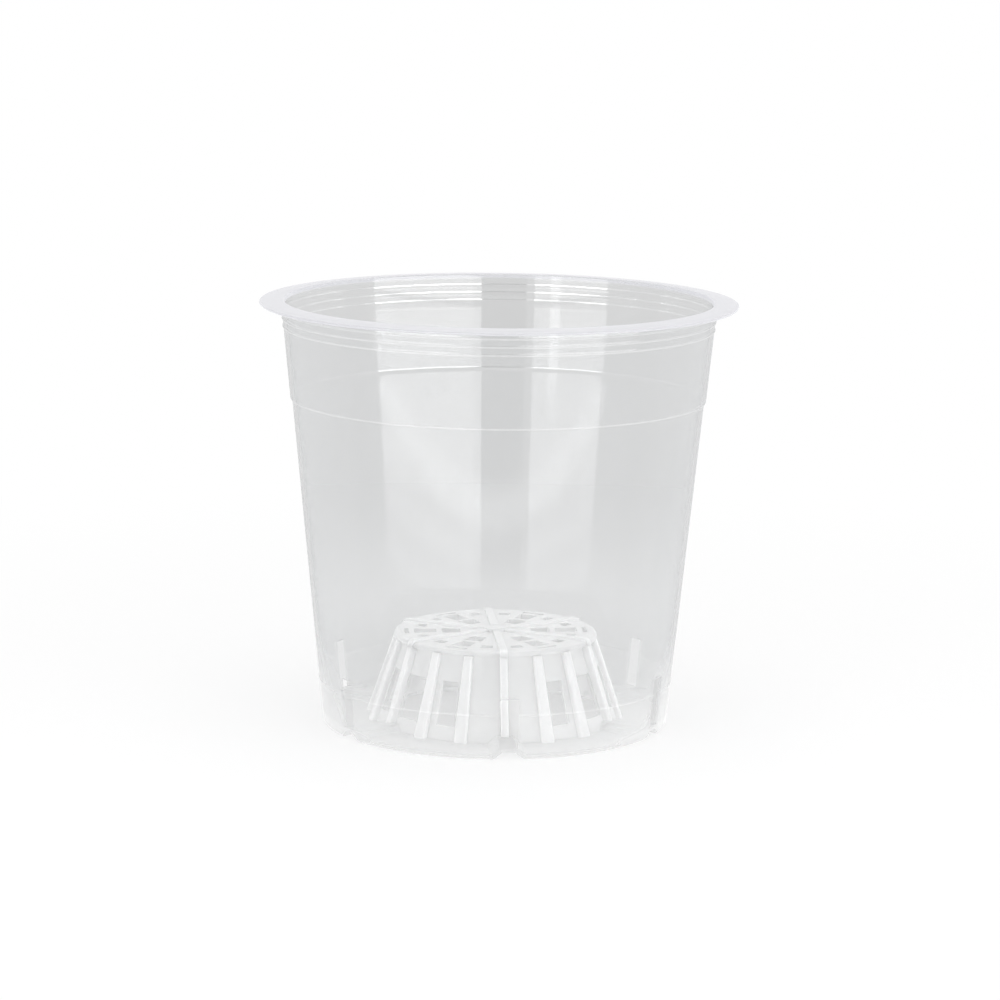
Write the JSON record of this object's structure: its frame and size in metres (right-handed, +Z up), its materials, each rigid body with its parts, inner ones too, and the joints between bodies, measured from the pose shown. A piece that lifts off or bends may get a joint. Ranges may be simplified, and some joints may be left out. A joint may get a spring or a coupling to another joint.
{
  "type": "orchid pot",
  "caption": "Clear tapered plastic orchid pot with a flat rim flange, drain slots at the foot and a raised ribbed, windowed aeration cone in the floor.",
  "frame": {"origin": "centre of the face the pot stands on", "axes": "+Z up along the pot's axis; a drain slot and a main rib of the cone lie on -Y"},
  "size_m": [0.12, 0.12, 0.1075],
  "materials": {
    "clear_plastic": "clear polypropylene, glossy, faintly milky",
    "milky_plastic": "the same polypropylene where the moulding is thicker, milky, satin"
  },
  "bodies": {
    "root": {"rim_flange": "clear_plastic", "stacking_collar": "clear_plastic", "upper_wall": "clear_plastic", "lower_wall": "clear_plastic", "slotted_foot": "clear_plastic", "drain_floor": "clear_plastic", "cone_skirt": "milky_plastic", "cone_grid": "milky_plastic", "grid_hub": "milky_plastic", "cone_rib_1": "milky_plastic", "cone_rib_2": "milky_plastic", "cone_rib_3": "milky_plastic", "cone_rib_4": "milky_plastic", "cone_rib_5": "milky_plastic", "cone_rib_6": "milky_plastic", "cone_rib_7": "milky_plastic", "cone_rib_8": "milky_plastic", "cone_rib_9": "milky_plastic", "cone_rib_10": "milky_plastic", "cone_rib_11": "milky_plastic", "cone_rib_12": "milky_plastic", "main_rib_1": "milky_plastic", "main_rib_2": "milky_plastic", "main_rib_3": "milky_plastic", "main_rib_4": "milky_plastic", "main_rib_5": "milky_plastic", "main_rib_6": "milky_plastic", "grid_spoke_1": "milky_plastic", "grid_spoke_2": "milky_plastic", "grid_spoke_3": "milky_plastic", "grid_spoke_4": "milky_plastic", "grid_spoke_5": "milky_plastic", "grid_spoke_6": "milky_plastic"}
  },
  "joints": []
}
